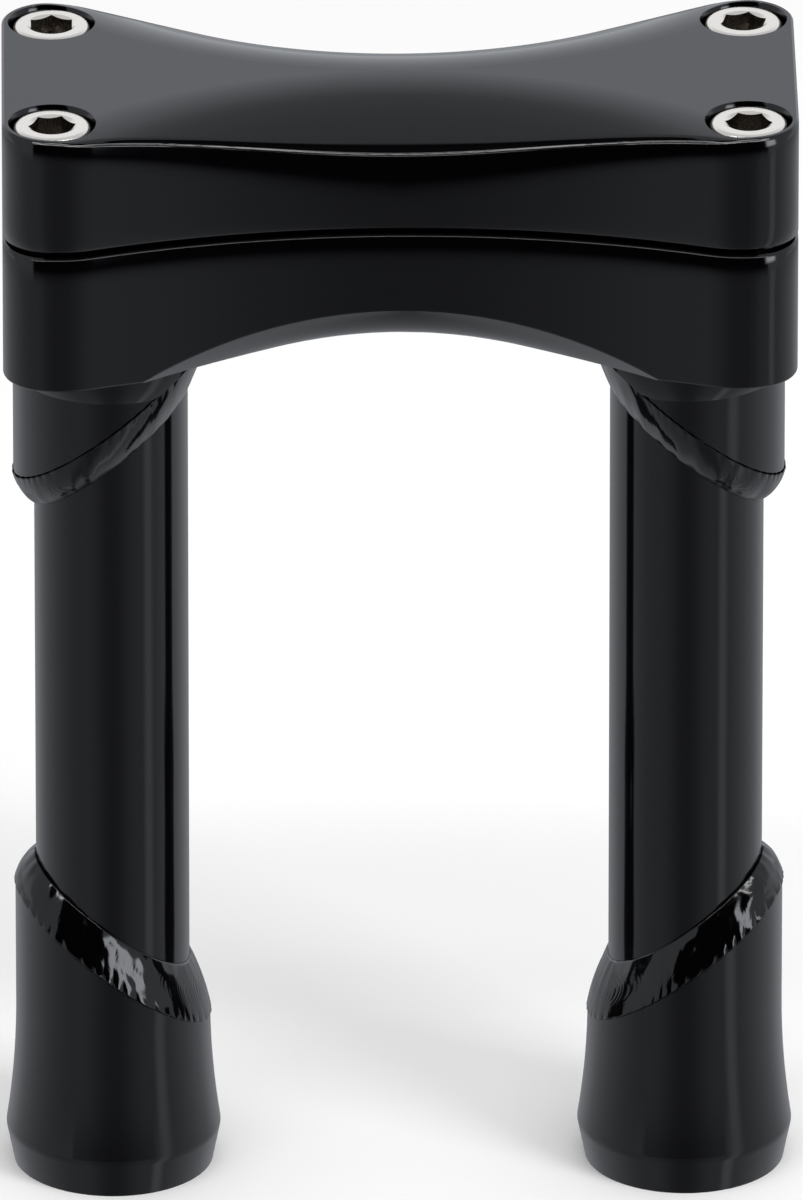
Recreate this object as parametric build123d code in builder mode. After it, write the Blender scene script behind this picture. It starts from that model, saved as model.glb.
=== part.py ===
from build123d import *
from math import radians, tan
import os

# Motorcycle bar riser: a split clamp for the handlebar, carried by two welded tube legs.
# X runs along the bar, Y from the front to the rear, Z is up. The origin lies on the surface
# that the feet stand on, midway between the legs. All sizes are in millimetres.

# Layout
rise = 165.1  # from the surface under the feet to the bar's axis, 6.5 in
leg_spacing = 88.9  # between the axes of the legs, 3.5 in
bar_radius = 12.7  # of a 1 in handlebar

# Outline of the clamp, seen from above
bolt_spacing_y = 38.1  # 1.5 in
end_margin = 1.45  # how far each end reaches beyond the sleeve under it
corner_radius = 7.7  # about each bolt's axis
waist_depth = 36.0  # across the middle, where front and rear are hollowed
front_flat = 3.8  # straight stretch between that hollow and each corner
waist_blend = 15.0  # radius that leads from the hollow into the straight stretch
edge_round = 0.5  # on the long edges of both halves
bore_chamfer = 0.8  # at both mouths of the bar's bore

# Clamp halves
clamp_gap = 0.8  # slit between the halves, which the bolts pull on
top_thickness = 18.8
lower_thickness = 22.4
top_ridge = 0.8  # width of the level strip between the shoulders, in the middle
top_shoulder_radius = 28.0  # of the roll-off in front and behind
top_shoulder_sweep = 75.0  # radius of the line, seen from above, where the roll-off begins
top_shoulder_turn = 60.0  # angle of the roll-off's arc, which ends clear of the clamp
lower_crown_radius = 21.6  # of the rounded underside, across the middle of the clamp
lower_flat_end = 17.0  # length of its long edges that stays level, from the clamp's end

# Clamp bolts, 5/16 in socket heads
bolt_radius = 3.97
bolt_length = 31.75  # under the head
bolt_head_radius = 5.95
bolt_head_height = 7.94
bolt_head_round = 0.9
hex_across_flats = 6.35
hex_depth = 4.2
bolt_tip_chamfer = 0.8
bolt_hole_clearance = 0.25  # beside the shank in the top half
thread_clearance = 0.05  # beside the shank in the tapped lower half
counterbore_clearance = 0.8  # beside the head
head_recess = 0.36  # how far the head lies below the top face

# Legs
tube_radius = 11.9
tube_wall = 3.0
tube_fit = 0.05  # clearance round the tube in its sockets
tube_seat_depth = 4.7  # how deep the tube enters the lower half

# Sleeves under the clamp
boss_wall = 3.15
boss_short_side = 0.6  # what the slanting cut leaves on the inner side
upper_slash_angle = 38.7

# Turned feet
stub_wall = 3.15  # round the tube
foot_flare = 1.6  # how much wider the foot is than its stub
foot_widest_height = 6.0
foot_taper = 1.2  # how much it narrows again to the underside
foot_waist_round = 2.5  # over the widest edge
foot_edge_round = 0.8  # at the underside
flare_top = 26.5  # height at which the flare meets the straight stub
slash_height = 36.2  # of the slanting cut, on the leg's axis
lower_slash_angle = 36.5
socket_floor = 19.5  # height of the tube's seat in the foot
thread_radius = 5.36  # tap drill of the 1/2 in mounting thread
thread_chamfer = 1.0

# Welds
slash_weld_height = 7.0  # along the leg
slash_weld_bulge = 0.44  # how far the bead stands out beyond a straight slope at mid height
slash_weld_step = 0.1  # inside the sleeve's outer edge
weld_toe = 0.35  # thickness of the bead where it runs out on the tube
ring_weld_height = 7.3
ring_weld_width = 1.1
ring_weld_curve = 14.0  # radius of its face

# Heights and places that follow
leg_offset = leg_spacing / 2
socket_radius = tube_radius + tube_fit
boss_radius = socket_radius + boss_wall
stub_radius = socket_radius + stub_wall
foot_radius = stub_radius + foot_flare
foot_face_radius = foot_radius - foot_taper
half_length = leg_offset + boss_radius + end_margin
bolt_x = half_length - corner_radius
bolt_y = bolt_spacing_y / 2
half_depth = bolt_y + corner_radius
waist_end = bolt_x - front_flat
top_bottom = rise + clamp_gap / 2
top_face = top_bottom + top_thickness
lower_top = rise - clamp_gap / 2
lower_face = lower_top - lower_thickness
head_top = top_face - head_recess
head_seat = head_top - bolt_head_height
tube_bottom = socket_floor
tube_top = lower_face + tube_seat_depth
upper_slash_height = lower_face - boss_short_side - boss_radius * tan(radians(upper_slash_angle))
past = 1.0  # how far a cutting shape runs past what it cuts
upright = 0.001  # largest vertical part of the normal of an upright face
level = 0.9  # largest vertical part of the direction of an edge along the outline


def clamp_outline(height):
    """Four corners round the bolts, with a long shallow hollow in front and behind."""
    with BuildSketch(Plane.XY.offset(height)) as outline:
        with BuildLine():
            hollow = ThreePointArc(
                (-waist_end, -half_depth), (0, -waist_depth / 2), (waist_end, -half_depth)
            )
            front = Line(hollow @ 1, (bolt_x, -half_depth))
            corner = RadiusArc(front @ 1, (half_length, -bolt_y), -corner_radius)
            Line(corner @ 1, (half_length, 0))
            mirror(about=Plane.YZ)
            mirror(about=Plane.XZ)
        make_face()
        fillet(outline.vertices().group_by(lambda corner: abs(corner.X))[0], waist_blend)
    return outline.sketch


def shoulder_ring(facing):
    """Ring about an upright axis in front of the clamp (-1) or behind it (1).

    Its level top face rolls off towards that axis, and gives the top half one shoulder."""
    axis_y = facing * (top_ridge / 2 + top_shoulder_sweep)
    reach = half_length + abs(axis_y) + half_depth
    foot = top_bottom - past
    with BuildPart() as ring:
        with BuildSketch(Plane((0, axis_y, 0), x_dir=(1, 0, 0), z_dir=(0, -1, 0))):
            with BuildLine():
                roll = JernArc(
                    (top_shoulder_sweep, top_face), (-1, 0), top_shoulder_radius, top_shoulder_turn
                )
                inside = roll @ 1
                Polyline(inside, (inside.X, foot), (reach, foot), (reach, top_face), roll @ 0)
            make_face()
        revolve(axis=Axis((0, axis_y, 0), (0, 0, 1)))
    return ring.part


def underside_hourglass():
    """Hourglass about an axis along X, whose waist gives the lower half its rounded underside.

    It touches the half's level face along the middle, and reaches the long edges where the
    face's level ends begin."""
    axis_height = lower_face + lower_crown_radius
    flare = (lower_crown_radius**2 + half_depth**2) ** 0.5 - lower_crown_radius
    sweep_radius = ((half_length - lower_flat_end) ** 2 + flare**2) / (2 * flare)
    end = half_length + past
    end_radius = lower_crown_radius + sweep_radius - (sweep_radius**2 - end**2) ** 0.5
    with BuildPart() as hourglass:
        with BuildSketch(Plane((0, 0, axis_height), x_dir=(1, 0, 0), z_dir=(0, -1, 0))):
            with BuildLine():
                curve = ThreePointArc((-end, end_radius), (0, lower_crown_radius), (end, end_radius))
                Polyline(curve @ 1, (end, 0), (-end, 0), curve @ 0)
            make_face()
        revolve(axis=Axis((0, 0, axis_height), (1, 0, 0)))
    return hourglass.part


def rim_edges(half):
    """The edges where a half's upright sides end, above and below."""
    sides = half.faces().filter_by(lambda face: abs(face.normal_at().Z) < upright)
    return ShapeList(
        edge for side in sides for edge in side.edges() if abs(edge.tangent_at().Z) < level
    )


def bar_bore():
    """Opens the bore for the handlebar, with a chamfer at each mouth."""
    with BuildPart(mode=Mode.PRIVATE) as bar:
        with BuildSketch(Plane((0, 0, rise), x_dir=(1, 0, 0), z_dir=(0, -1, 0))):
            Polygon(
                (-half_length - past, 0),
                (-half_length - past, bar_radius + bore_chamfer + past),
                (-half_length + bore_chamfer, bar_radius),
                (half_length - bore_chamfer, bar_radius),
                (half_length + past, bar_radius + bore_chamfer + past),
                (half_length + past, 0),
                align=None,
            )
        revolve(axis=Axis((0, 0, rise), (1, 0, 0)))
    return bar.part


bolt_places = [(x, y) for y in (-bolt_y, bolt_y) for x in (-bolt_x, bolt_x)]


def keep(piece, name):
    piece.part.label = name
    export_step(piece.part, f"parts/{name}.step")


os.makedirs("parts", exist_ok=True)
bar = bar_bore()

# Top half of the clamp
front_ring = shoulder_ring(-1)
rear_ring = shoulder_ring(1)
with BuildPart() as top_clamp:
    extrude(clamp_outline(top_bottom), amount=top_thickness + past)
    add(front_ring, mode=Mode.INTERSECT)
    add(rear_ring, mode=Mode.INTERSECT)
    fillet(rim_edges(top_clamp), edge_round)
    add(bar, mode=Mode.SUBTRACT)
    with Locations(Plane.XY.offset(top_face)):
        with Locations(*bolt_places):
            CounterBoreHole(
                bolt_radius + bolt_hole_clearance,
                bolt_head_radius + counterbore_clearance,
                top_face - head_seat,
            )
keep(top_clamp, "top_clamp")

# Lower half of the clamp
hourglass = underside_hourglass()
with BuildPart() as lower_clamp:
    extrude(clamp_outline(lower_face), amount=lower_thickness)
    add(hourglass, mode=Mode.INTERSECT)
    fillet(rim_edges(lower_clamp), edge_round)
    add(bar, mode=Mode.SUBTRACT)
    with Locations(Plane.XY.offset(lower_top)):
        with Locations(*bolt_places):
            Hole(bolt_radius + thread_clearance)
    with Locations(Plane.XY.offset(tube_top)):
        with Locations((-leg_offset, 0), (leg_offset, 0)):
            Cylinder(
                socket_radius,
                tube_seat_depth + past,
                align=(Align.CENTER, Align.CENTER, Align.MAX),
                mode=Mode.SUBTRACT,
            )
keep(lower_clamp, "lower_clamp")

# Legs, the same on both sides; "inward" points to the other leg
for side, inward in (("left", 1), ("right", -1)):
    leg_x = -inward * leg_offset
    leg_axis = Axis((leg_x, 0, 0), (0, 0, 1))
    half_section = Plane(origin=(leg_x, 0, 0), x_dir=(1, 0, 0), z_dir=(0, -1, 0))
    slope_down = Vector(inward, 0, -tan(radians(lower_slash_angle)))
    slope_up = Vector(inward, 0, tan(radians(upper_slash_angle)))
    along = Vector(0, inward, 0)
    lower_slash = Plane((leg_x, 0, slash_height), slope_down, slope_down.cross(along))
    upper_slash = Plane((leg_x, 0, upper_slash_height), slope_up, slope_up.cross(along))

    # Foot, turned from bar, bored for the tube and tapped from below
    stub_top = slash_height + stub_radius * tan(radians(lower_slash_angle)) + past
    with BuildPart() as base:
        with BuildSketch(half_section):
            with BuildLine():
                flare = TangentArc(
                    (stub_radius, flare_top), (foot_radius, foot_widest_height), tangent=(0, -1)
                )
                Polyline(
                    flare @ 1,
                    (foot_face_radius, 0),
                    (0, 0),
                    (0, stub_top),
                    (stub_radius, stub_top),
                    flare @ 0,
                )
            foot = make_face()
            widest = foot.vertices().sort_by_distance((foot_radius, foot_widest_height))[0]
            underside_edge = foot.vertices().sort_by_distance((foot_face_radius, 0))[0]
            fillet(widest, foot_waist_round)
            fillet(underside_edge, foot_edge_round)
        revolve(axis=leg_axis)
        split(bisect_by=lower_slash, keep=Keep.BOTTOM)
        with Locations((leg_x, 0, socket_floor)):
            Cylinder(
                socket_radius,
                stub_top - socket_floor,
                align=(Align.CENTER, Align.CENTER, Align.MIN),
                mode=Mode.SUBTRACT,
            )
            Hole(thread_radius)
        mouth = base.edges().filter_by(GeomType.CIRCLE).group_by(Axis.Z)[0].sort_by(SortBy.RADIUS)[0]
        chamfer(mouth, thread_chamfer)
    keep(base, f"{side}_base")

    # Tube, from its seat in the foot to its seat in the clamp
    with BuildPart() as tube:
        with BuildSketch(Plane.XY.offset(tube_bottom)):
            with Locations((leg_x, 0)):
                Circle(tube_radius)
                Circle(tube_radius - tube_wall, mode=Mode.SUBTRACT)
        extrude(amount=tube_top - tube_bottom)
    keep(tube, f"{side}_tube")

    # Sleeve between the tube and the clamp, cut off on the slant
    boss_bottom = upper_slash_height - boss_radius * tan(radians(upper_slash_angle)) - past
    with BuildPart() as boss:
        with BuildSketch(Plane.XY.offset(boss_bottom)):
            with Locations((leg_x, 0)):
                Circle(boss_radius)
                Circle(socket_radius, mode=Mode.SUBTRACT)
        extrude(amount=lower_face - boss_bottom)
        split(bisect_by=upper_slash, keep=Keep.TOP)
    keep(boss, f"{side}_boss")

    # Weld that runs round the sleeve under the clamp, down to the slanting cut
    with BuildPart() as boss_weld:
        with BuildSketch(half_section):
            with BuildLine():
                toe = (boss_radius, lower_face - ring_weld_height)
                brow = (boss_radius + ring_weld_width, lower_face)
                RadiusArc(toe, brow, -ring_weld_curve)
                Polyline(brow, (boss_radius, lower_face), toe)
            make_face()
        revolve(axis=leg_axis)
        split(bisect_by=upper_slash, keep=Keep.TOP)
    keep(boss_weld, f"{side}_boss_weld")

    # Welds on the slanting cuts, a rounded bead between the sleeve's edge and the tube
    for end, slash, outer_radius, rising in (
        ("upper", upper_slash, boss_radius, -1),
        ("lower", lower_slash, stub_radius, 1),
    ):
        edge_radius = outer_radius - slash_weld_step
        toe_radius = tube_radius + weld_toe
        middle_radius = (toe_radius + edge_radius) / 2 + slash_weld_bulge
        slant = abs(slash.z_dir.Z)
        steps = (
            (0, edge_radius),
            (slash_weld_height / 2, middle_radius),
            (slash_weld_height, toe_radius),
        )
        with BuildPart() as slash_weld:
            for height, radius in steps:
                centre = slash.origin + Vector(0, 0, rising * height)
                with BuildSketch(Plane(centre, slash.x_dir, slash.z_dir)):
                    Ellipse(radius / slant, radius)
            loft()
            with Locations((leg_x, 0, slash.origin.Z)):
                Cylinder(tube_radius, rise, mode=Mode.SUBTRACT)
        keep(slash_weld, f"{side}_{end}_weld")

# Clamp bolts, each turned as it was left
hex_turns = {"front_left": 36, "front_right": 26, "rear_left": 0, "rear_right": 46}
for place, turn in hex_turns.items():
    x = bolt_x if place.endswith("right") else -bolt_x
    y = bolt_y if place.startswith("rear") else -bolt_y
    with BuildPart() as bolt:
        with BuildSketch(Plane(origin=(x, y, head_seat), x_dir=(1, 0, 0), z_dir=(0, -1, 0))):
            with BuildLine():
                Polyline(
                    (0, bolt_head_height),
                    (bolt_head_radius, bolt_head_height),
                    (bolt_head_radius, 0),
                    (bolt_radius, 0),
                    (bolt_radius, bolt_tip_chamfer - bolt_length),
                    (bolt_radius - bolt_tip_chamfer, -bolt_length),
                    (0, -bolt_length),
                    close=True,
                )
            outline = make_face()
            fillet(
                outline.vertices().sort_by_distance((bolt_head_radius, bolt_head_height))[0],
                bolt_head_round,
            )
        revolve(axis=Axis((x, y, 0), (0, 0, 1)))
        with BuildSketch(Plane((x, y, head_top))):
            RegularPolygon(hex_across_flats / 2, 6, major_radius=False, rotation=turn)
        extrude(amount=-hex_depth, mode=Mode.SUBTRACT)
    keep(bolt, f"{place}_bolt")
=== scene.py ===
"""Motorcycle bar riser: gloss black powder coat, weld beads and stainless clamp screws round the frame.

X runs along the bar, Y from front to rear and Z up, in metres. Each operator makes or finishes one
group of pieces, and the panel in the sidebar lists them in the order in which they are run."""

from math import atan2, cos, exp, floor, hypot, pi, radians, sin, tan

import bpy
from bpy.props import FloatProperty, FloatVectorProperty, IntProperty, PointerProperty
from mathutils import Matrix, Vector, noise


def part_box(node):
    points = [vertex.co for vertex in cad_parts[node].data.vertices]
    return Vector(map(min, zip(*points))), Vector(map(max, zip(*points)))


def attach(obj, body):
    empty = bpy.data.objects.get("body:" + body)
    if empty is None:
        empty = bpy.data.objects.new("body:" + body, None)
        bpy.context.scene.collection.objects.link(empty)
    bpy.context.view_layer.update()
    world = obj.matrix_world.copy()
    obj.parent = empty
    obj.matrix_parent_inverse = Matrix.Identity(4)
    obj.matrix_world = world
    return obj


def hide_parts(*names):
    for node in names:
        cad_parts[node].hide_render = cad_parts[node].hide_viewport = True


bl_info = {
    "name": "Motorcycle Bar Riser",
    "version": (1, 0, 0),
    "blender": (4, 5, 0),
    "location": "3D View > Sidebar > Bar Riser",
    "description": "Finishes the riser's frame and sets it in a small studio",
    "category": "Object",
}

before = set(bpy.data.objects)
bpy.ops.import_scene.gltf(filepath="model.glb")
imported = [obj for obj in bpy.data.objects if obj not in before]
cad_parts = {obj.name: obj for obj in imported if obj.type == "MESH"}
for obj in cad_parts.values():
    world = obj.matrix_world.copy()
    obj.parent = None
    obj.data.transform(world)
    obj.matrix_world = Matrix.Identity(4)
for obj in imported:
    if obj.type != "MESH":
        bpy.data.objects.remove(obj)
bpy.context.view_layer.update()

MM = 0.001
SIDES = {"left": 1, "right": -1}  # the sign points to the other leg
BOLT_PLACES = ("front_left", "front_right", "rear_left", "rear_right")
BODY = "root"


def srgb(code):
    """A hex sRGB colour as linear red, green, blue and alpha."""
    shares = [int(code[i : i + 2], 16) / 255 for i in (1, 3, 5)]
    return (*(c / 12.92 if c <= 0.04045 else ((c + 0.055) / 1.055) ** 2.4 for c in shares), 1.0)


def add_node(tree, kind, inputs=None, **settings):
    """Adds a node with its settings; an input is given a value or the output that feeds it."""
    node = tree.nodes.new(kind)
    for name, value in settings.items():
        setattr(node, name, value)
    for name, value in (inputs or {}).items():
        if isinstance(value, bpy.types.NodeSocket):
            tree.links.new(value, node.inputs[name])
        else:
            node.inputs[name].default_value = value
    return node


def new_material(name):
    """A material without nodes, and its node tree."""
    material = bpy.data.materials.new(name)
    material.use_nodes = True
    material.node_tree.nodes.clear()
    return material, material.node_tree


def deselect_all():
    bpy.ops.object.select_all(action="DESELECT")


def box_of(node):
    """Centre, lowest and highest corner of a CAD node."""
    low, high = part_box(node)
    return (low + high) / 2, low, high


def finish_piece(piece, name, material, slot, *stands_for):
    """Names a piece, gives it its finish, and ties it to the frame in place of what it stands for."""
    piece.name = name
    piece.data.name = name
    piece.data.materials.clear()
    piece.data.materials.append(material)
    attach(piece, BODY)
    if stands_for:
        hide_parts(*stands_for)


# Sizes and colours


class RiserPaintSettings(bpy.types.PropertyGroup):
    colour: FloatVectorProperty(
        name="Colour",
        description="Colour of the powder coat",
        subtype="COLOR",
        size=4,
        min=0,
        max=1,
        default=srgb("#020203"),
    )
    roughness: FloatProperty(
        name="Roughness", description="Of the cured coat", min=0, max=1, default=0.1
    )
    ior: FloatProperty(
        name="IOR", description="Refractive index of the clear resin", min=1, max=2, default=1.5
    )
    peel_width: FloatProperty(
        name="Peel width",
        description="Distance between the soft waves that the coat dries with",
        unit="LENGTH",
        default=1.8 * MM,
    )
    peel_height: FloatProperty(
        name="Peel height",
        description="Height of those waves",
        unit="LENGTH",
        default=0.003 * MM,
    )
    rim_lean: FloatProperty(
        name="Rim lean",
        description="How far polishing has leant the clamp's sides back at their rims",
        subtype="ANGLE",
        default=radians(37),
    )


class RiserWeldSettings(bpy.types.PropertyGroup):
    lower_angle: FloatProperty(
        name="Lower cut", description="Slant of the foot's cut", subtype="ANGLE", default=radians(36.5)
    )
    upper_angle: FloatProperty(
        name="Upper cut", description="Slant of the sleeve's cut", subtype="ANGLE", default=radians(38.7)
    )
    height: FloatProperty(
        name="Height", description="Of a bead, along the leg", unit="LENGTH", default=7.0 * MM
    )
    ripple_pitch: FloatProperty(
        name="Ripple pitch", description="Between two frozen ripples", unit="LENGTH", default=2.1 * MM
    )
    ripple_height: FloatProperty(
        name="Ripple height", description="Of a frozen ripple", unit="LENGTH", default=0.026 * MM
    )
    fine_pitch: FloatProperty(
        name="Fine pitch", description="Between the fine lines on a calm stretch", unit="LENGTH",
        default=0.75 * MM,
    )
    fine_height: FloatProperty(
        name="Fine height", description="Of a fine line", unit="LENGTH", default=0.06 * MM
    )
    lump_height: FloatProperty(
        name="Lump height", description="Of the uneven filler", unit="LENGTH", default=0.30 * MM
    )
    lip: FloatProperty(
        name="Lip", description="How far a bead swells over the sleeve's edge", unit="LENGTH",
        default=0.34 * MM,
    )
    turns: IntProperty(name="Steps around", description="Faces round a bead", default=960)
    rows: IntProperty(name="Steps across", description="Faces across a bead's face", default=40)


class RiserBoltSettings(bpy.types.PropertyGroup):
    colour: FloatVectorProperty(
        name="Colour",
        description="Colour of the stainless steel",
        subtype="COLOR",
        size=4,
        min=0,
        max=1,
        default=srgb("#eee8df"),
    )
    # Painted shade: a darker steel for the socket's walls and floor, standing for the shade in the recess
    socket_shade_colour: FloatVectorProperty(
        name="Socket",
        description="Colour of the steel in the broached socket",
        subtype="COLOR",
        size=4,
        min=0,
        max=1,
        default=srgb("#8d867e"),
    )
    hex_width: FloatProperty(
        name="Hex key", description="Across the flats of the socket", unit="LENGTH", default=6.35 * MM
    )
    hex_depth: FloatProperty(
        name="Hex depth", description="Of the socket", unit="LENGTH", default=4.2 * MM
    )
    head_round: FloatProperty(
        name="Head round", description="Radius over the head's edge", unit="LENGTH", default=0.9 * MM
    )
    teeth: IntProperty(name="Knurl teeth", description="Round the head", default=72)
    knurl_depth: FloatProperty(
        name="Knurl depth", description="Of a tooth", unit="LENGTH", default=0.12 * MM
    )


class RiserStageSettings(bpy.types.PropertyGroup):
    floor_colour: FloatVectorProperty(
        name="Floor",
        description="Colour of the floor's paper",
        subtype="COLOR",
        size=4,
        min=0,
        max=1,
        default=srgb("#fbfbfb"),
    )
    azimuth: FloatProperty(
        name="Camera azimuth", description="Round the object", subtype="ANGLE", default=radians(-0.7)
    )
    elevation: FloatProperty(
        name="Camera elevation", description="Above the horizon", subtype="ANGLE", default=radians(24.8)
    )
    distance: FloatProperty(
        name="Camera distance", description="From its target", unit="LENGTH", default=5.0
    )
    picture_height: FloatProperty(
        name="Picture height", description="What the frame takes in at the target", unit="LENGTH",
        default=185.6 * MM,
    )
    target_aside: FloatProperty(
        name="Target aside", description="Of the frame's middle, along X", unit="LENGTH",
        default=0.4 * MM,
    )
    target_height: FloatProperty(
        name="Target height", description="Of the frame's middle", unit="LENGTH", default=94.7 * MM
    )


# Finishes

# The clamp's sizes that its finish follows, in millimetres
clamp_low, clamp_high = (corner / MM for corner in box_of("top_clamp")[1:])
HALF_DEPTH = clamp_high.y
CORNER_RADIUS = HALF_DEPTH - box_of("rear_right_bolt")[0].y / MM
BOLT_X = clamp_high.x - CORNER_RADIUS
TOP_FACE = clamp_high.z
SLIT_CEILING = clamp_low.z
SLIT_FLOOR = box_of("lower_clamp")[2].z / MM
HALF_WAIST = 18.0
HOLLOW_RADIUS = 144.4
RIDGE_WIDTH = 0.8
SHOULDER_RADIUS = 28.0
SHOULDER_SWEEP = 75.0
SWEEP_CENTRE = RIDGE_WIDTH / 2 + SHOULDER_SWEEP

# The polished shoulders: distances in from the outline, in millimetres, and slopes
ROLL_STARTS, ROLL_FULL = 1.9, 0.7
LAST_LINE_STARTS, LAST_LINE_FULL = 0.32, 0.22
SHOULDER_SLOPE, LAST_LINE_SLOPE = 0.9, 1.03

# How far up a face looks, as its normal's Z, where the roll starts and where it is full
SHOULDER_FACES = (0.995, 0.96)
TOP_FACES = (0.66, 0.74)

# How a half's sides lean back below their rim: the share of the set angle, the depth in millimetres
# over which it fades in the middle and at the ends, and the faces that still lean, as above
SIDE_ROLLS = {
    "top": {"share": 1.0, "middle_depth": 3.1, "end_depth": 1.3, "faces": (0.7, 0.25)},
    "lower": {"share": 0.66, "middle_depth": 2.2, "end_depth": 2.0, "faces": (0.95, 0.6)},
}
SIDE_ROLL_ENDS = 52.0
FOOT_SLOPE = -0.6


def out_of_corner(tree, spot, from_middle, across):
    """Way out to a place from the axis of its corner, seen from above, in millimetres.

    The outline is corners round the bolts, joined by the long hollow of front and rear."""
    squared = add_node(tree, "ShaderNodeMath", {0: across, 1: across}, operation="MULTIPLY")
    rest = add_node(
        tree, "ShaderNodeMath", {0: HOLLOW_RADIUS**2, 1: squared.outputs[0]}, operation="SUBTRACT"
    )
    chord = add_node(tree, "ShaderNodeMath", {0: rest.outputs[0]}, operation="SQRT")
    hollow = add_node(
        tree, "ShaderNodeMath", {0: HALF_WAIST + HOLLOW_RADIUS, 1: chord.outputs[0]}, operation="SUBTRACT"
    )
    edge = add_node(tree, "ShaderNodeMath", {0: hollow.outputs[0], 1: HALF_DEPTH}, operation="MINIMUM")
    corner_y = add_node(
        tree, "ShaderNodeMath", {0: edge.outputs[0], 1: CORNER_RADIUS}, operation="SUBTRACT"
    )
    # Far above the clamp, so that no height is left beyond it
    corner = add_node(tree, "ShaderNodeCombineXYZ", {"X": BOLT_X, "Y": corner_y.outputs[0], "Z": 1e3})
    beyond = add_node(
        tree, "ShaderNodeVectorMath", {0: from_middle, 1: corner.outputs[0]}, operation="SUBTRACT"
    )
    beyond = add_node(tree, "ShaderNodeVectorMath", {0: beyond.outputs[0]}, operation="MAXIMUM")
    signs = add_node(tree, "ShaderNodeVectorMath", {0: spot}, operation="SIGN")
    outwards = add_node(
        tree, "ShaderNodeVectorMath", {0: beyond.outputs[0], 1: signs.outputs[0]}, operation="MULTIPLY"
    )
    return outwards.outputs[0]


def shoulder_drop(tree, outwards, facing, upward):
    """What the polished shoulders of the top add to the normal.

    They are rolled to one slope at their edge, and a little further on the last line."""
    length = add_node(tree, "ShaderNodeVectorMath", {0: outwards}, operation="LENGTH").outputs["Value"]
    direction = add_node(tree, "ShaderNodeVectorMath", {0: outwards}, operation="NORMALIZE")
    inner = add_node(
        tree,
        "ShaderNodeMapRange",
        {"Value": length, "From Min": CORNER_RADIUS - ROLL_STARTS, "From Max": CORNER_RADIUS - ROLL_FULL},
        interpolation_type="SMOOTHSTEP",
    )
    sloping = add_node(
        tree,
        "ShaderNodeMapRange",
        {"Value": upward, "From Min": SHOULDER_FACES[0], "From Max": SHOULDER_FACES[1]},
        interpolation_type="SMOOTHSTEP",
    )
    on_top = add_node(
        tree,
        "ShaderNodeMapRange",
        {"Value": upward, "From Min": TOP_FACES[0], "From Max": TOP_FACES[1]},
    )
    rolled = add_node(
        tree, "ShaderNodeMath", {0: inner.outputs[0], 1: sloping.outputs[0]}, operation="MULTIPLY"
    )
    rolled = add_node(
        tree, "ShaderNodeMath", {0: rolled.outputs[0], 1: on_top.outputs[0]}, operation="MULTIPLY"
    )
    slope = add_node(
        tree,
        "ShaderNodeMapRange",
        {
            "Value": length,
            "From Min": CORNER_RADIUS - LAST_LINE_STARTS,
            "From Max": CORNER_RADIUS - LAST_LINE_FULL,
            "To Min": SHOULDER_SLOPE,
            "To Max": LAST_LINE_SLOPE,
        },
    )
    aslant = add_node(
        tree,
        "ShaderNodeVectorMath",
        {0: direction.outputs[0], "Scale": slope.outputs[0]},
        operation="SCALE",
    )
    aslant = add_node(tree, "ShaderNodeVectorMath", {0: aslant.outputs[0], 1: (0, 0, 1)}, operation="ADD")
    aslant = add_node(tree, "ShaderNodeVectorMath", {0: aslant.outputs[0]}, operation="NORMALIZE")
    drop = add_node(tree, "ShaderNodeVectorMath", {0: aslant.outputs[0], 1: facing}, operation="SUBTRACT")
    drop = add_node(
        tree, "ShaderNodeVectorMath", {0: drop.outputs[0], "Scale": rolled.outputs[0]}, operation="SCALE"
    )
    return drop.outputs[0]


def top_rim_height(tree, across, off_middle):
    """Height of the top half's rim in millimetres, which falls as the swept shoulders roll off."""
    in_sweep = add_node(tree, "ShaderNodeMath", {0: SWEEP_CENTRE, 1: off_middle}, operation="SUBTRACT")
    arm = add_node(tree, "ShaderNodeCombineXYZ", {"X": across, "Y": in_sweep.outputs[0]})
    reach = add_node(tree, "ShaderNodeVectorMath", {0: arm.outputs[0]}, operation="LENGTH")
    past = add_node(
        tree, "ShaderNodeMath", {0: SHOULDER_SWEEP, 1: reach.outputs["Value"]}, operation="SUBTRACT"
    )
    past = add_node(tree, "ShaderNodeMath", {0: past.outputs[0], 1: 0.0}, operation="MAXIMUM")
    past = add_node(tree, "ShaderNodeMath", {0: past.outputs[0], 1: 2.0}, operation="POWER")
    height = add_node(
        tree, "ShaderNodeMath", {0: SHOULDER_RADIUS**2, 1: past.outputs[0]}, operation="SUBTRACT"
    )
    height = add_node(tree, "ShaderNodeMath", {0: height.outputs[0]}, operation="SQRT")
    rim = add_node(
        tree, "ShaderNodeMath", {0: height.outputs[0], 1: TOP_FACE - SHOULDER_RADIUS}, operation="ADD"
    )
    return rim.outputs[0]


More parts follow.
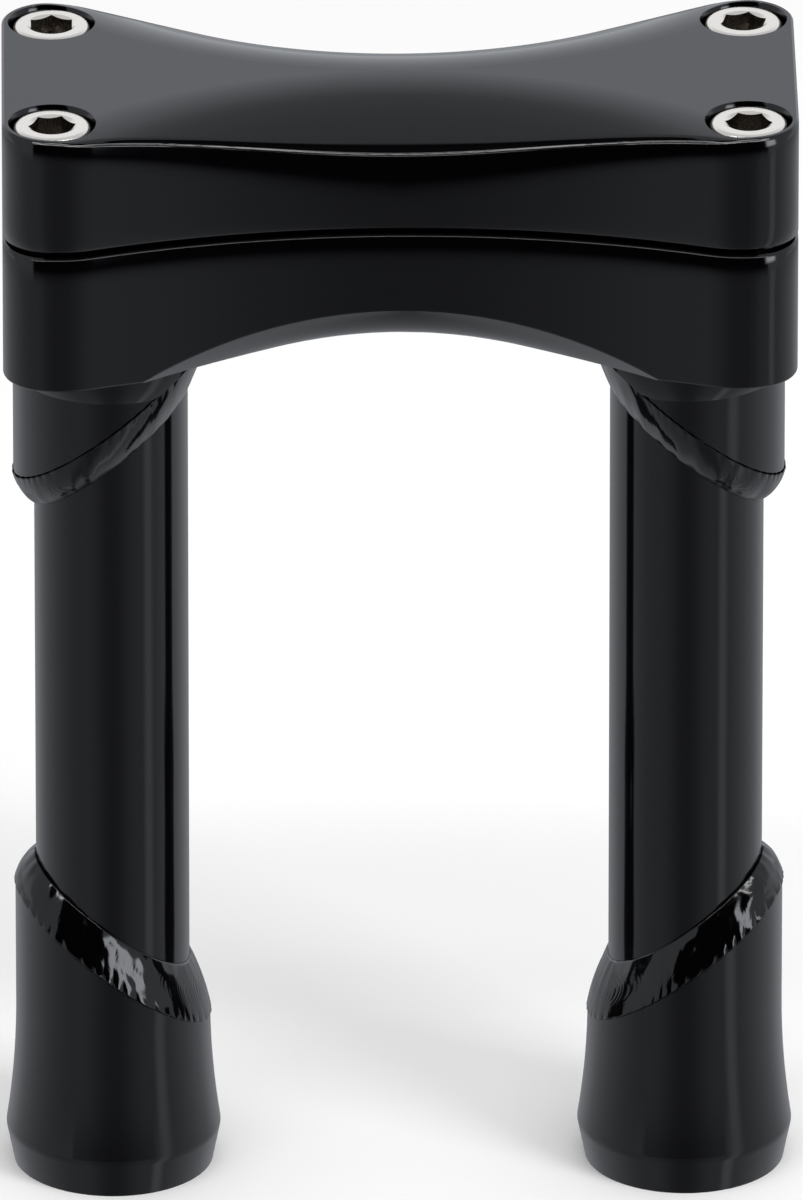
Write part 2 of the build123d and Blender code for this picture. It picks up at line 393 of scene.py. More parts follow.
def side_lean(tree, settings, half, at, off, upward):
    """What the polished sides of a clamp half add to the normal.

    They lean back more and more towards the upper rim, most in the middle of the clamp, and the top
    half's lean out at its lower rim."""
    roll = SIDE_ROLLS[half]
    rim = top_rim_height(tree, at["X"], off["Y"]) if half == "top" else SLIT_FLOOR
    below = add_node(tree, "ShaderNodeMath", {0: at["Z"], 1: rim}, operation="SUBTRACT")
    depth = add_node(
        tree,
        "ShaderNodeMapRange",
        {
            "Value": off["X"],
            "From Max": SIDE_ROLL_ENDS,
            "To Min": roll["middle_depth"],
            "To Max": roll["end_depth"],
        },
    )
    below = add_node(
        tree, "ShaderNodeMath", {0: below.outputs[0], 1: depth.outputs[0]}, operation="DIVIDE"
    )
    below = add_node(tree, "ShaderNodeMath", {0: below.outputs[0], 1: 0.0}, operation="MINIMUM")
    lean = add_node(tree, "ShaderNodeMath", {0: below.outputs[0]}, operation="EXPONENT")
    most = roll["share"] * tan(settings.rim_lean)
    lean = add_node(tree, "ShaderNodeMath", {0: lean.outputs[0], 1: most}, operation="MULTIPLY")
    if half == "top":
        above = add_node(tree, "ShaderNodeMath", {0: SLIT_CEILING, 1: at["Z"]}, operation="SUBTRACT")
        above = add_node(tree, "ShaderNodeMath", {0: above.outputs[0], 1: 0.0}, operation="MINIMUM")
        out = add_node(tree, "ShaderNodeMath", {0: above.outputs[0]}, operation="EXPONENT")
        lean = add_node(
            tree,
            "ShaderNodeMath",
            {0: out.outputs[0], 1: FOOT_SLOPE, 2: lean.outputs[0]},
            operation="MULTIPLY_ADD",
        )
    steep = add_node(tree, "ShaderNodeMath", {0: upward}, operation="ABSOLUTE")
    upright = add_node(
        tree,
        "ShaderNodeMapRange",
        {
            "Value": steep.outputs[0],
            "From Min": roll["faces"][1],
            "From Max": roll["faces"][0],
            "To Min": 1.0,
            "To Max": 0.0,
        },
        interpolation_type="SMOOTHSTEP",
    )
    lean = add_node(
        tree, "ShaderNodeMath", {0: lean.outputs[0], 1: upright.outputs[0]}, operation="MULTIPLY"
    )
    return add_node(tree, "ShaderNodeCombineXYZ", {"Z": lean.outputs[0]}).outputs[0]


def rolled_rims(tree, place, settings, half):
    """Normal of a clamp half whose rims are rolled off by polishing."""
    in_millimetres = add_node(
        tree, "ShaderNodeVectorMath", {0: place, "Scale": 1 / MM}, operation="SCALE"
    )
    spot = in_millimetres.outputs[0]
    at = add_node(tree, "ShaderNodeSeparateXYZ", {"Vector": spot}).outputs
    from_middle = add_node(tree, "ShaderNodeVectorMath", {0: spot}, operation="ABSOLUTE").outputs[0]
    off = add_node(tree, "ShaderNodeSeparateXYZ", {"Vector": from_middle}).outputs
    facing = add_node(tree, "ShaderNodeNewGeometry").outputs["Normal"]
    upward = add_node(tree, "ShaderNodeSeparateXYZ", {"Vector": facing}).outputs["Z"]

    outwards = out_of_corner(tree, spot, from_middle, at["X"])
    rolled = facing
    for change in (
        side_lean(tree, settings, half, at, off, upward),
        shoulder_drop(tree, outwards, facing, upward),
    ):
        rolled = add_node(tree, "ShaderNodeVectorMath", {0: rolled, 1: change}, operation="ADD").outputs[0]
    return add_node(tree, "ShaderNodeVectorMath", {0: rolled}, operation="NORMALIZE").outputs[0]


def powder_coat(name, settings, waviness=1.0, half=None):
    """Gloss black polyester powder coat, sprayed and baked.

    It flows into one deep, even gloss with long soft waves, and mirrors lamps with a slight blur.
    Under a weld bead's lip the reflection is turned down, as painted shade in the crease below the bead."""
    grain_width = 0.35 * MM
    least_rough, most_rough = 0.8 * settings.roughness, 1.2 * settings.roughness
    usual_shine = 0.5
    material, tree = new_material(name)
    place = add_node(tree, "ShaderNodeTexCoord").outputs["Object"]
    waves = add_node(
        tree,
        "ShaderNodeTexNoise",
        {"Vector": place, "Scale": 1 / settings.peel_width, "Detail": 2.0, "Roughness": 0.45},
    )
    bump = add_node(
        tree,
        "ShaderNodeBump",
        {"Strength": 1.0, "Distance": settings.peel_height * waviness, "Height": waves.outputs["Fac"]},
    )
    if half:
        tree.links.new(rolled_rims(tree, place, settings, half), bump.inputs["Normal"])
    grain = add_node(
        tree, "ShaderNodeTexNoise", {"Vector": place, "Scale": 1 / grain_width, "Detail": 3.0}
    )
    roughness = add_node(
        tree,
        "ShaderNodeMapRange",
        {"Value": grain.outputs["Fac"], "To Min": least_rough, "To Max": most_rough},
    )
    # Painted shade: where a weld bead's lip is marked, the reflection is turned down to darken the crease
    # below the bead
    painted_crease_shade = add_node(tree, "ShaderNodeAttribute", attribute_name="painted_crease_shade")
    shine_dimmed_by_painted_shade = add_node(
        tree,
        "ShaderNodeMapRange",
        {"Value": painted_crease_shade.outputs["Fac"], "To Min": usual_shine, "To Max": 0.0},
    )
    surface = add_node(
        tree,
        "ShaderNodeBsdfPrincipled",
        {
            "Base Color": settings.colour,
            "Roughness": roughness.outputs["Result"],
            "IOR": settings.ior,
            "Specular IOR Level": shine_dimmed_by_painted_shade.outputs["Result"],
            "Normal": bump.outputs["Normal"],
        },
    )
    add_node(tree, "ShaderNodeOutputMaterial", {"Surface": surface.outputs["BSDF"]})
    return material


def stainless(name, colour):
    """Stainless steel as cold-headed screws have it, tumbled bright, with faint marks of tumbling."""
    mark_width, mark_depth = 0.5 * MM, 0.001 * MM
    least_rough, most_rough = 0.2, 0.34
    material, tree = new_material(name)
    place = add_node(tree, "ShaderNodeTexCoord").outputs["Object"]
    marks = add_node(
        tree, "ShaderNodeTexNoise", {"Vector": place, "Scale": 1 / mark_width, "Detail": 4.0}
    )
    bump = add_node(
        tree,
        "ShaderNodeBump",
        {"Strength": 1.0, "Distance": mark_depth, "Height": marks.outputs["Fac"]},
    )
    roughness = add_node(
        tree,
        "ShaderNodeMapRange",
        {"Value": marks.outputs["Fac"], "To Min": least_rough, "To Max": most_rough},
    )
    surface = add_node(
        tree,
        "ShaderNodeBsdfPrincipled",
        {
            "Base Color": colour,
            "Metallic": 1.0,
            "Roughness": roughness.outputs["Result"],
            "Normal": bump.outputs["Normal"],
        },
    )
    add_node(tree, "ShaderNodeOutputMaterial", {"Surface": surface.outputs["BSDF"]})
    return material


# Pieces


class RISER_OT_paint(bpy.types.Operator):
    """Gives the clamp halves, the legs and the welds under the clamp their powder coat"""

    bl_idname = "riser.paint"
    bl_label = "Powder coat"

    def execute(self, context):
        settings = context.scene.riser_paint
        coats = {
            "top_clamp": powder_coat("powder_coat_on_top_half", settings, half="top"),
            "lower_clamp": powder_coat("powder_coat_on_lower_half", settings, half="lower"),
            "weld": powder_coat("powder_coat_over_weld", settings, waviness=0.3),
            "leg": powder_coat("powder_coat_on_legs", settings),
        }
        for name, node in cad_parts.items():
            if not name.endswith("bolt"):
                kind = "weld" if name.endswith("weld") else "leg"
                node.material_slots[0].material = coats.get(name, coats[kind])
        return {"FINISHED"}


def ripple(phase):
    """Rounded ridge with a sharp valley on each side, from 0 to 1 and back over one turn of phase."""
    part = phase - floor(phase)
    return 1 - (2 * part - 1) ** 2


def hump(value, middle, width):
    """1 at the middle, fading to 0 at a few widths away."""
    return exp(-(((value - middle) / width) ** 2))


# Where the welder slowed down and the filler heaped up, as angles from the front, outwards, with
# how much it did, and how little it does elsewhere
BUSY_AT = {
    "left_lower": (radians(0), 1.0),
    "right_lower": (radians(28), 1.0),
    "left_upper": (radians(-40), 0.12),
    "right_upper": (radians(-40), 0.12),
}
BUSY_WIDTH = radians(34)
LEAST_BUSY = 0.03
# Where the bead runs calm, with fine lines, and how faint the lines are elsewhere
LINED_AT = radians(80)
LINED_WIDTH = radians(36)
LEAST_LINED = 0.1
# The section of a bead: a lip over the sleeve's edge, a bulging face, and a toe on the tube
LIP_DEPTH = 0.4 * MM
STEADY_LIP, CALM_SWELL, SWELL_FADE = 0.3, 0.25, 7
BULGE = 0.44 * MM
TOE_REACH = 0.3 * MM
TOE_WANDER = 0.22 * MM
TOE_DEPTH = 0.1 * MM
LIP_ROWS = 7
HIDDEN_ROWS = 3
# Ripples that the pattern drifts by along the bead, and that it bows back by at the rims
RIPPLE_DRIFT, RIPPLE_BOW = 1.6, -0.9
FINE_DRIFT, FINE_BOW = 2.4, -6.0
BOW_WANDER = 0.25
# How much of its height a ripple has as a rule, and by how much ripples differ
USUAL_RIPPLE, RIPPLE_WANDER = 0.55, 0.9
LUMP_WIDTH, LEAST_LUMP = 4.4 * MM, 0.02
# Changes of the drift, the toe and the bow within one radius round the bead
DRIFT_RATE, TOE_RATE, BOW_RATE = 1.9, 7, 6


class RISER_OT_slash_welds(bpy.types.Operator):
    """Lays the rippled beads on the slanting cuts of the sleeves and feet"""

    bl_idname = "riser.slash_welds"
    bl_label = "Weld beads on the slanting cuts"

    def execute(self, context):
        settings = context.scene.riser_weld
        coat = bpy.data.materials["powder_coat_over_weld"]
        for side, inward in SIDES.items():
            for end, rising in (("lower", 1), ("upper", -1)):
                self.lay_bead(settings, coat, side, inward, end, rising)
        return {"FINISHED"}

    def lay_bead(self, settings, coat, side, inward, end, rising):
        tube_middle, tube_low, tube_high = box_of(f"{side}_tube")
        sleeve_low, sleeve_high = box_of(f"{side}_boss")[1:]
        tube_radius = (tube_high.x - tube_low.x) / 2
        sleeve_radius = (sleeve_high.x - sleeve_low.x) / 2
        if end == "lower":
            slope = -inward * tan(settings.lower_angle)
            cut_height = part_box(f"{side}_base")[1].z - sleeve_radius * abs(slope)
        else:
            slope = inward * tan(settings.upper_angle)
            cut_height = sleeve_low.z + sleeve_radius * abs(slope)
        busy_place, busy_most = BUSY_AT[f"{side}_{end}"]
        # Each bead has its own place in the noise
        seed = Vector((3.7 * inward, 11.3 * rising, 5.1))
        ripples = round(2 * pi * sleeve_radius / settings.ripple_pitch)
        fine_ripples = round(2 * pi * sleeve_radius / settings.fine_pitch)
        face_rows = settings.rows
        all_rows = LIP_ROWS + face_rows + HIDDEN_ROWS
        edge = sleeve_radius + STEADY_LIP * settings.lip

        deselect_all()
        bpy.ops.mesh.primitive_grid_add(x_subdivisions=settings.turns, y_subdivisions=all_rows, size=2)
        bead = bpy.context.object
        painted_crease_shade = bead.data.attributes.new("painted_crease_shade", "FLOAT", "POINT")
        for vertex in bead.data.vertices:
            angle = pi * (vertex.co.x + 1)
            row = round((vertex.co.y + 1) / 2 * all_rows)
            out = Vector((cos(angle), sin(angle), 0))
            # Angle from the front, outwards, with the rear folded onto the front
            outward = atan2(-inward * out.x, abs(out.y))
            busy = busy_most * hump(outward, busy_place, BUSY_WIDTH) + LEAST_BUSY
            drift = noise.noise(out * DRIFT_RATE + seed)
            phase = ripples * angle / (2 * pi) + RIPPLE_DRIFT * drift
            fine_phase = fine_ripples * angle / (2 * pi) + FINE_DRIFT * drift
            swell = settings.lip * (CALM_SWELL + busy) * ripple(phase)
            toe = tube_radius + TOE_REACH
            toe += TOE_WANDER * noise.noise(out * TOE_RATE + seed)
            if row <= LIP_ROWS:
                turn = pi / 2 * (1 - row / LIP_ROWS)
                share = -LIP_DEPTH / settings.height * sin(turn)
                radius = edge + swell - LIP_DEPTH * (1 - cos(turn))
                # Painted shade: all of the lip but its last quarter loses its reflection, darkening the
                # crease below the bead
                painted_crease_shade.data[vertex.index].value = min(1, 4 * (1 - row / LIP_ROWS))
            elif row <= LIP_ROWS + face_rows:
                share = (row - LIP_ROWS) / face_rows
                radius = edge + (toe - edge) * share + 4 * BULGE * share * (1 - share)
                radius += swell * (1 - share) ** SWELL_FADE
            else:
                # Out of sight: down inside the tube's skin and back under the lip
                share = 1.0 if row == LIP_ROWS + face_rows + 1 else -LIP_DEPTH / settings.height
                radius = edge - LIP_DEPTH if row == all_rows else tube_radius - TOE_DEPTH
            rise = share * settings.height
            if 0 <= share <= 1 and row <= LIP_ROWS + face_rows:
                across = Vector((0, 0, share))
                bow = inward * (2 * share - 1) ** 2
                bow += BOW_WANDER * noise.noise(out * BOW_RATE + across + seed)
                phase += RIPPLE_BOW * bow
                fine_phase += FINE_BOW * bow
                lined = hump(outward, -rising * LINED_AT, LINED_WIDTH)
                lined = LEAST_LINED + (1 - LEAST_LINED) * lined
                # Each ripple has a height of its own, which changes across the bead
                own = noise.noise(Vector((floor(phase) * 0.9, share * 1.4, 0)) + seed)
                uneven = USUAL_RIPPLE + RIPPLE_WANDER * own
                spot = Vector((radius * out.x, radius * out.y, rise)) + seed * MM
                lump = noise.fractal(spot / LUMP_WIDTH, 1.0, 2.0, 2)
                # The relief fades towards both rims
                window = min(1, 0.4 + 5 * share) * min(1, 0.25 + 4 * (1 - share))
                height = window * (
                    busy * settings.ripple_height * uneven * ripple(phase)
                    + lined * settings.fine_height * ripple(fine_phase)
                    + (busy + LEAST_LUMP) * settings.lump_height * lump
                )
                lean = atan2(edge - toe, settings.height)
                lean -= 4 * BULGE * (1 - 2 * share) / settings.height
                radius += height * cos(lean)
                rise += height * sin(lean)
            x, y = radius * out.x, radius * out.y
            vertex.co = (tube_middle.x + x, y, cut_height + slope * x + rising * rise)
        bpy.ops.object.mode_set(mode="EDIT")
        bpy.ops.mesh.select_all(action="SELECT")
        bpy.ops.mesh.remove_doubles(threshold=0.002 * MM)
        bpy.ops.mesh.normals_make_consistent(inside=False)
        bpy.ops.object.mode_set(mode="OBJECT")
        bpy.ops.object.shade_smooth()
        finish_piece(bead, f"{side}_{end}_weld_bead", coat, "painted_weld", f"{side}_{end}_weld")


# How far each screw's hex socket stands turned, in degrees
HEX_TURNS = {"front_left": 36, "front_right": 26, "rear_left": 0, "rear_right": 46}

# Sizes that go with a screw of 5/16 in
HEAD_HEIGHT = 7.94 * MM
SHANK_RADIUS = 3.97 * MM
HEAD_CHAMFER = 0.4 * MM
HEAD_FILLET = 0.3 * MM
KNURL_BELOW_ROUND = 0.5 * MM
KNURL_MARGIN = 0.1 * MM
TIP_CHAMFER = 0.8 * MM
TIP_FLAT = 0.6 * MM
# The socket: its countersink, and the cone that the drill left at its end
MOUTH_CLEARANCE = 0.12 * MM
MOUTH_SLOPE = radians(30)
CONE_DEPTH = 1.6 * MM
CONE_POINT = 0.02
# Steps round the edge of the head, and how near counts as touching
ARC_STEPS = 7
TOUCH = 0.01 * MM


class RISER_OT_bolts(bpy.types.Operator):
    """Turns the socket-head screws of the clamp, with knurled heads and chamfered hex sockets"""

    bl_idname = "riser.bolts"
    bl_label = "Clamp screws"

    def execute(self, context):
        settings = context.scene.riser_bolt
        steel = stainless("stainless_steel", settings.colour)
        shaded = stainless("stainless_steel_painted_shade_in_sockets", settings.socket_shade_colour)
        for place in BOLT_PLACES:
            self.turn_bolt(settings, steel, shaded, place)
        return {"FINISHED"}

    def turn_bolt(self, settings, steel, shaded, place):
        middle, low, high = box_of(f"{place}_bolt")
        head_radius = (high.x - low.x) / 2
        apothem = settings.hex_width / 2
        corner = apothem / cos(pi / 6)
        mouth = corner + MOUTH_CLEARANCE
        bolt = self.turn_outside(settings, head_radius, mouth, low.z, high.z)
        self.sink_socket(settings, bolt, apothem, mouth, high.z)
        self.knurl_head(settings, bolt, head_radius, high.z)
        bpy.ops.object.mode_set(mode="EDIT")
        bpy.ops.mesh.select_all(action="SELECT")
        bpy.ops.mesh.normals_make_consistent(inside=False)
        bpy.ops.object.mode_set(mode="OBJECT")
        bpy.ops.object.shade_smooth_by_angle(angle=radians(28))
        bolt.rotation_euler = (0, 0, radians(HEX_TURNS[place]))
        bolt.location = (middle.x, middle.y, 0)
        bpy.ops.object.transform_apply(location=True, rotation=True, scale=True)
        finish_piece(bolt, f"{place}_screw", steel, "stainless", f"{place}_bolt")
        bolt.data.materials.append(shaded)
        # Painted shade: the socket's faces below the countersink get the darker steel, for the shade in the
        # recess
        below_countersink = high.z - (mouth - apothem) * tan(MOUTH_SLOPE)
        for face in bolt.data.polygons:
            aside = hypot(face.center.x - middle.x, face.center.y - middle.y)
            if aside < corner and face.center.z < below_countersink:
                face.material_index = 1

    def turn_outside(self, settings, head_radius, mouth, tip, top):
        """Screw round its own axis, from the socket's mouth over the head and down to the tip."""
        rounding = settings.head_round
        seat = top - HEAD_HEIGHT
        shank = SHANK_RADIUS
        profile = [(head_radius - rounding, top)]
        for step in range(1, ARC_STEPS + 1):
            lean = pi / 2 * step / ARC_STEPS
            profile.append((head_radius - rounding * (1 - sin(lean)), top - rounding * (1 - cos(lean))))
        profile += [
            (head_radius, top - rounding - KNURL_BELOW_ROUND),
            (head_radius, seat + HEAD_CHAMFER),
            (head_radius - HEAD_CHAMFER, seat),
            (shank + HEAD_FILLET, seat),
            (shank, seat - HEAD_FILLET),
            (shank, tip + TIP_CHAMFER),
            (shank - TIP_CHAMFER, tip),
            (TIP_FLAT, tip),
        ]

        deselect_all()
        bpy.ops.mesh.primitive_circle_add(vertices=2 * settings.teeth, radius=mouth, location=(0, 0, top))
        bolt = bpy.context.object
        bpy.ops.object.transform_apply(location=True, rotation=True, scale=True)
        bpy.ops.object.mode_set(mode="EDIT")
        bpy.ops.mesh.select_all(action="SELECT")
        radius, height = mouth, top
        for new_radius, new_height in profile:
            bpy.ops.mesh.extrude_region_move(
                TRANSFORM_OT_translate={"value": (0, 0, new_height - height)}
            )
            share = new_radius / radius
            bpy.ops.transform.resize(value=(share, share, 1), center_override=(0, 0, 0))
            radius, height = new_radius, new_height
        bpy.ops.mesh.edge_face_add()
        bpy.ops.object.mode_set(mode="OBJECT")
        return bolt

    def sink_socket(self, settings, bolt, apothem, mouth, top):
        """Hex socket with a countersunk mouth, which starts again from the mouth's ring."""
        around = 2 * settings.teeth
        for vertex in bolt.data.vertices:
            on_mouth = abs(hypot(vertex.co.x, vertex.co.y) - mouth) < TOUCH
            vertex.select = on_mouth and vertex.index < around
        for edge in bolt.data.edges:
            edge.select = all(bolt.data.vertices[i].select for i in edge.vertices)
        for face in bolt.data.polygons:
            face.select = False
        bpy.ops.object.mode_set(mode="EDIT")
        bpy.ops.mesh.extrude_region_move()
        bpy.ops.object.mode_set(mode="OBJECT")
        for vertex in bolt.data.vertices:
            if vertex.select:
                angle = atan2(vertex.co.y, vertex.co.x)
                sector = (angle + pi / 6) % (pi / 3) - pi / 6
                radius = apothem / cos(sector)
                vertex.co.x, vertex.co.y = radius * cos(angle), radius * sin(angle)
                vertex.co.z = top - (mouth - radius) * tan(MOUTH_SLOPE)
        bottom = top - settings.hex_depth
        bpy.ops.object.mode_set(mode="EDIT")
        bpy.ops.mesh.extrude_region_move(TRANSFORM_OT_translate={"value": (0, 0, -settings.hex_depth)})
        bpy.ops.transform.resize(value=(1, 1, 0), center_override=(0, 0, bottom))
        bpy.ops.mesh.extrude_region_move(TRANSFORM_OT_translate={"value": (0, 0, -CONE_DEPTH)})
        bpy.ops.transform.resize(value=(CONE_POINT, CONE_POINT, 1), center_override=(0, 0, 0))
        bpy.ops.mesh.edge_face_add()
        bpy.ops.object.mode_set(mode="OBJECT")

    def knurl_head(self, settings, bolt, head_radius, top):
        """Presses every second edge on the side of the head inwards."""
        around = 2 * settings.teeth
        ceiling = top - settings.head_round - KNURL_MARGIN
        for vertex in bolt.data.vertices:
            on_side = abs(hypot(vertex.co.x, vertex.co.y) - head_radius) < TOUCH
            angle = atan2(vertex.co.y, vertex.co.x)
            if on_side and vertex.co.z < ceiling and round(angle / (2 * pi) * around) % 2:
                radius = head_radius - settings.knurl_depth
                vertex.co.x, vertex.co.y = radius * cos(angle), radius * sin(angle)


# Studio


def card_only_in_gloss(card):
    """Leaves a bright shell to the gloss alone: the camera and the matt surfaces don't meet it."""
    card.visible_camera = False
    card.visible_diffuse = False
    card.visible_shadow = False
    card.visible_transmission = False
    card.visible_volume_scatter = False


class RISER_OT_stage(bpy.types.Operator):
    """Sets the floor, the tent, the lamps and the camera"""

    bl_idname = "riser.stage"
    bl_label = "Studio"

    def execute(self, context):
        settings = context.scene.riser_stage
        context.scene.view_settings.view_transform = "Standard"
        self.light_world(context)
        self.lay_floor(settings)
        self.raise_tent()
        self.hang_lamps()
        self.place_camera(context, settings)
        return {"FINISHED"}

    def light_world(self, context):
        """White that the camera and the gloss see, a little weaker where it lights the object."""
        on_object, in_view = 0.8, 1.0
        world = bpy.data.worlds.new("studio")
        context.scene.world = world
        world.use_nodes = True
        tree = world.node_tree
        tree.nodes.clear()
        path = add_node(tree, "ShaderNodeLightPath")
        seen = add_node(
            tree,
            "ShaderNodeMath",
            {0: path.outputs["Is Camera Ray"], 1: path.outputs["Is Glossy Ray"]},
            operation="MAXIMUM",
        )
        seen = add_node(
            tree,
            "ShaderNodeMath",
            {0: seen.outputs[0], 1: path.outputs["Is Transmission Ray"]},
            operation="MAXIMUM",
        )
        strength = add_node(
            tree, "ShaderNodeMapRange", {"Value": seen.outputs[0], "To Min": on_object, "To Max": in_view}
        )
        white = add_node(
            tree,
            "ShaderNodeBackground",
            {"Color": (1, 1, 1, 1), "Strength": strength.outputs["Result"]},
        )
        add_node(tree, "ShaderNodeOutputWorld", {"Surface": white.outputs["Background"]})

    def lay_floor(self, settings):
        """Round of white paper that keeps the object's shadow and fades into the white far away."""
        paper_radius, fade_starts, fade_ends = 4.0, 0.6, 2.5
        deselect_all()
        bpy.ops.mesh.primitive_circle_add(vertices=128, radius=paper_radius, fill_type="NGON")
        paper = bpy.context.object
        paper.name = "floor_paper"
        material, tree = new_material("white_paper")
        place = add_node(tree, "ShaderNodeTexCoord").outputs["Object"]
        distance = add_node(tree, "ShaderNodeVectorMath", {0: place}, operation="LENGTH")
        far = add_node(
            tree,
            "ShaderNodeMapRange",
            {"Value": distance.outputs["Value"], "From Min": fade_starts, "From Max": fade_ends},
            interpolation_type="SMOOTHSTEP",
        )
        near_surface = add_node(tree, "ShaderNodeBsdfDiffuse", {"Color": settings.floor_colour})
        far_surface = add_node(tree, "ShaderNodeEmission", {"Color": (1, 1, 1, 1), "Strength": 1.0})
        surface = add_node(
            tree,
            "ShaderNodeMixShader",
            {0: far.outputs["Result"], 1: near_surface.outputs["BSDF"], 2: far_surface.outputs["Emission"]},
        )
        add_node(tree, "ShaderNodeOutputMaterial", {"Surface": surface.outputs["Shader"]})
        paper.data.materials.append(material)
        paper.visible_glossy = False

    def raise_tent(self):
        """Tent round the set, as the gloss mirrors it: white behind, grey overhead, black in front.

        A softbox shows to the right of the front, and below the horizon lies the floor's grey."""
        tent_radius = 3.0
        box_azimuth, box_height = radians(50), 0.31
        horizon_starts, horizon_ends = -0.3, 0.02
        deselect_all()
        bpy.ops.mesh.primitive_uv_sphere_add(segments=96, ring_count=48, radius=tent_radius)
        tent = bpy.context.object
        tent.name = "light_tent"
        material, tree = new_material("tent_cloth")
        place = add_node(tree, "ShaderNodeTexCoord").outputs["Object"]
        toward = add_node(tree, "ShaderNodeVectorMath", {0: place}, operation="NORMALIZE")
        toward = add_node(tree, "ShaderNodeSeparateXYZ", {"Vector": toward.outputs[0]}).outputs
        ahead = add_node(tree, "ShaderNodeMath", {0: toward["Y"], 1: -1.0}, operation="MULTIPLY")
        over = add_node(
            tree, "ShaderNodeMath", {0: toward["Z"], 1: ahead.outputs[0]}, operation="ARCTAN2"
        )
        right = add_node(
            tree, "ShaderNodeMath", {0: toward["X"], 1: ahead.outputs[0]}, operation="ARCTAN2"
        )
        aside = add_node(tree, "ShaderNodeMath", {0: right.outputs[0]}, operation="ABSOLUTE")
        from_box = add_node(
            tree, "ShaderNodeMath", {0: right.outputs[0], 1: box_azimuth}, operation="SUBTRACT"
        )
        from_box = add_node(tree, "ShaderNodeMath", {0: from_box.outputs[0]}, operation="ABSOLUTE")
        off_box = add_node(
            tree, "ShaderNodeMath", {0: toward["Z"], 1: box_height}, operation="SUBTRACT"
        )
        off_box = add_node(tree, "ShaderNodeMath", {0: off_box.outputs[0]}, operation="ABSOLUTE")
        # Each step: what it goes by, its start and end, and the brightness there
        steps = {
            "cloth": (over, radians(121), radians(143), 0.66, 1.0),
            "above": (over, radians(79), radians(86), 0.0, 1.0),
            "beside": (aside, radians(42), radians(46), 0.0, 1.0),
            "floor": (aside, radians(2), radians(40), 0.20, 0.43),
            "side": (aside, radians(50), radians(110), 0.0, 0.26),
            "rear": (aside, radians(130), radians(180), 1.0, 0.45),
            "streak_in": (right, radians(46), radians(54), 0.0, 0.45),
            "streak_out": (right, radians(57), radians(67), 1.0, 0.0),
            "box_across": (from_box, radians(7), radians(14), 1.0, 0.0),
            "box_up": (off_box, 0.14, 0.28, 5.0, 0.0),
        }
        tones = {}
        for name, (measure, start, end, low, high) in steps.items():
            tones[name] = add_node(
                tree,
                "ShaderNodeMapRange",
                {
                    "Value": measure.outputs[0],
                    "From Min": start,
                    "From Max": end,
                    "To Min": low,
                    "To Max": high,
                },
                interpolation_type="SMOOTHSTEP",
            ).outputs["Result"]
        clear = add_node(
            tree, "ShaderNodeMath", {0: tones["above"], 1: tones["beside"]}, operation="MAXIMUM"
        )
        upper = add_node(
            tree, "ShaderNodeMath", {0: tones["cloth"], 1: clear.outputs[0]}, operation="MULTIPLY"
        )
        upper = add_node(
            tree,
            "ShaderNodeMath",
            {0: tones["box_across"], 1: tones["box_up"], 2: upper.outputs[0]},
            operation="MULTIPLY_ADD",
        )
        lower = add_node(
            tree,
            "ShaderNodeMath",
            {0: tones["streak_in"], 1: tones["streak_out"], 2: tones["floor"]},
            operation="MULTIPLY_ADD",
        )
        lower = add_node(
            tree, "ShaderNodeMath", {0: lower.outputs[0], 1: tones["side"]}, operation="ADD"
        )
        lower = add_node(
            tree, "ShaderNodeMath", {0: lower.outputs[0], 1: tones["rear"]}, operation="MULTIPLY"
        )
        horizon = add_node(
            tree,
            "ShaderNodeMapRange",
            {"Value": toward["Z"], "From Min": horizon_starts, "From Max": horizon_ends},
            interpolation_type="SMOOTHSTEP",
        )
        strength = add_node(
            tree,
            "ShaderNodeMix",
            {"Factor": horizon.outputs["Result"], "A": lower.outputs[0], "B": upper.outputs[0]},
        )
        light = add_node(
            tree, "ShaderNodeEmission", {"Color": srgb("#f4f8ff"), "Strength": strength.outputs["Result"]}
        )
        add_node(tree, "ShaderNodeOutputMaterial", {"Surface": light.outputs["Emission"]})
        tent.data.materials.append(material)
        card_only_in_gloss(tent)

    def hang_lamps(self):
        self.hang_lamp("top_strip", spot=(0, -0.50, 1.10), size=(1.6, 0.09), radiance=8.0)
        self.hang_lamp(
            "side_box", spot=(0.874, -0.734, 0.52), size=(0.46, 0.62), radiance=8.0, in_gloss=False
        )

    def hang_lamp(self, name, spot, size, radiance, in_gloss=True):
        """Softbox aimed at the object, as bright to look into as the radiance says."""
        aim = Vector((0, 0, 0.15))
        light = bpy.data.lights.new(name, "AREA")
        light.shape = "RECTANGLE"
        light.size, light.size_y = size
        light.energy = radiance * pi * size[0] * size[1]
        lamp = bpy.data.objects.new(name, light)
        bpy.context.scene.collection.objects.link(lamp)
        lamp.location = spot
        lamp.rotation_euler = (aim - Vector(spot)).to_track_quat("-Z", "Y").to_euler()
        lamp.visible_camera = False
        lamp.visible_glossy = in_gloss

    def place_camera(self, context, settings):
        data = bpy.data.cameras.new("camera")
        camera = bpy.data.objects.new("camera", data)
        context.scene.collection.objects.link(camera)
        context.scene.camera = camera
        back = Vector(
            (
                sin(settings.azimuth) * cos(settings.elevation),
                -cos(settings.azimuth) * cos(settings.elevation),
                sin(settings.elevation),
            )
        )
        target = Vector((settings.target_aside, 0, settings.target_height))
        camera.location = target + back * settings.distance
        camera.rotation_euler = (-back).to_track_quat("-Z", "Y").to_euler()
        data.sensor_width = 36
        data.lens = data.sensor_width * settings.distance / settings.picture_height
        data.clip_end = 100


class RISER_PT_panel(bpy.types.Panel):
    """Lists the steps that finish the riser"""

    bl_label = "Bar Riser"
    bl_space_type = "VIEW_3D"
    bl_region_type = "UI"
    bl_category = "Bar Riser"

    def draw(self, context):
        for operator in OPERATORS:
            self.layout.operator(operator.bl_idname)


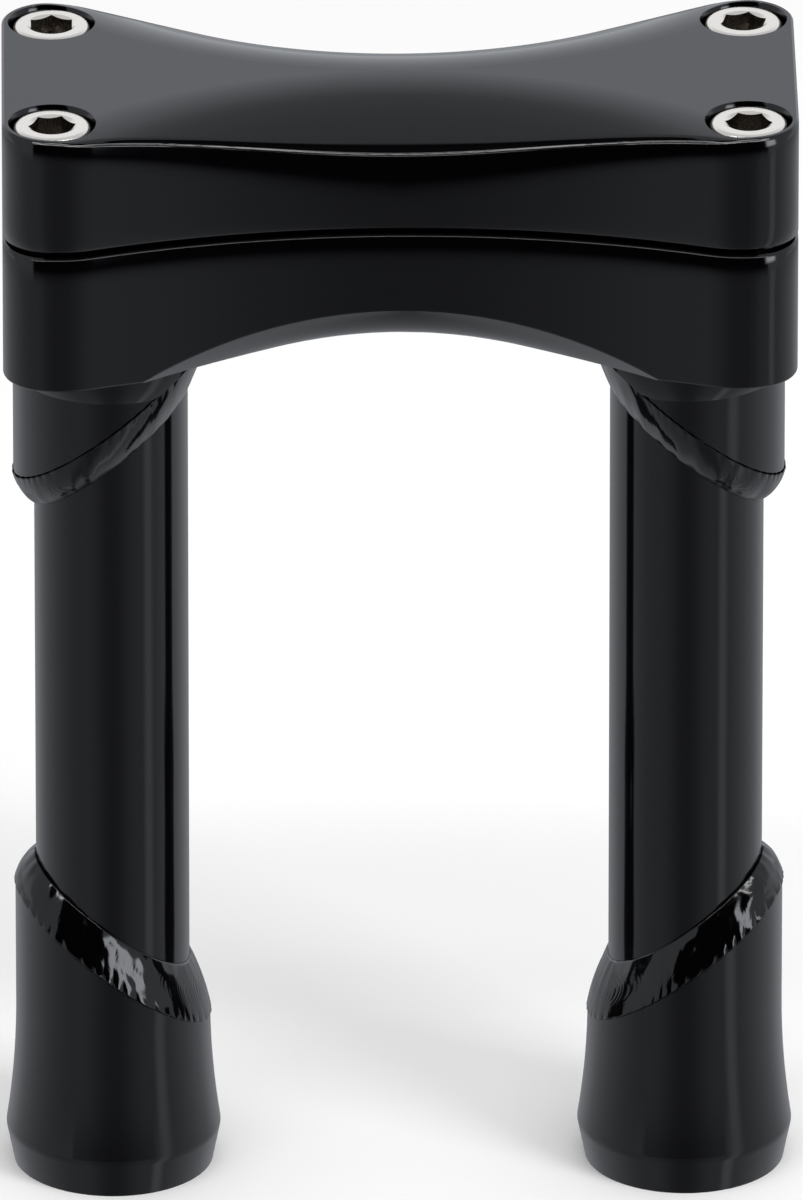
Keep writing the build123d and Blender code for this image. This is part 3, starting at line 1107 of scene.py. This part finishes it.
SETTINGS = {
    "riser_paint": RiserPaintSettings,
    "riser_weld": RiserWeldSettings,
    "riser_bolt": RiserBoltSettings,
    "riser_stage": RiserStageSettings,
}
OPERATORS = (RISER_OT_stage, RISER_OT_paint, RISER_OT_slash_welds, RISER_OT_bolts)


def register():
    for group in (*SETTINGS.values(), *OPERATORS, RISER_PT_panel):
        bpy.utils.register_class(group)
    for name, group in SETTINGS.items():
        setattr(bpy.types.Scene, name, PointerProperty(type=group))


def unregister():
    for name in SETTINGS:
        delattr(bpy.types.Scene, name)
    for group in reversed((*SETTINGS.values(), *OPERATORS, RISER_PT_panel)):
        bpy.utils.unregister_class(group)


def main():
    register()
    bpy.ops.riser.stage()
    bpy.ops.riser.paint()
    bpy.ops.riser.slash_welds()
    bpy.ops.riser.bolts()


if __name__ == "__main__":
    main()
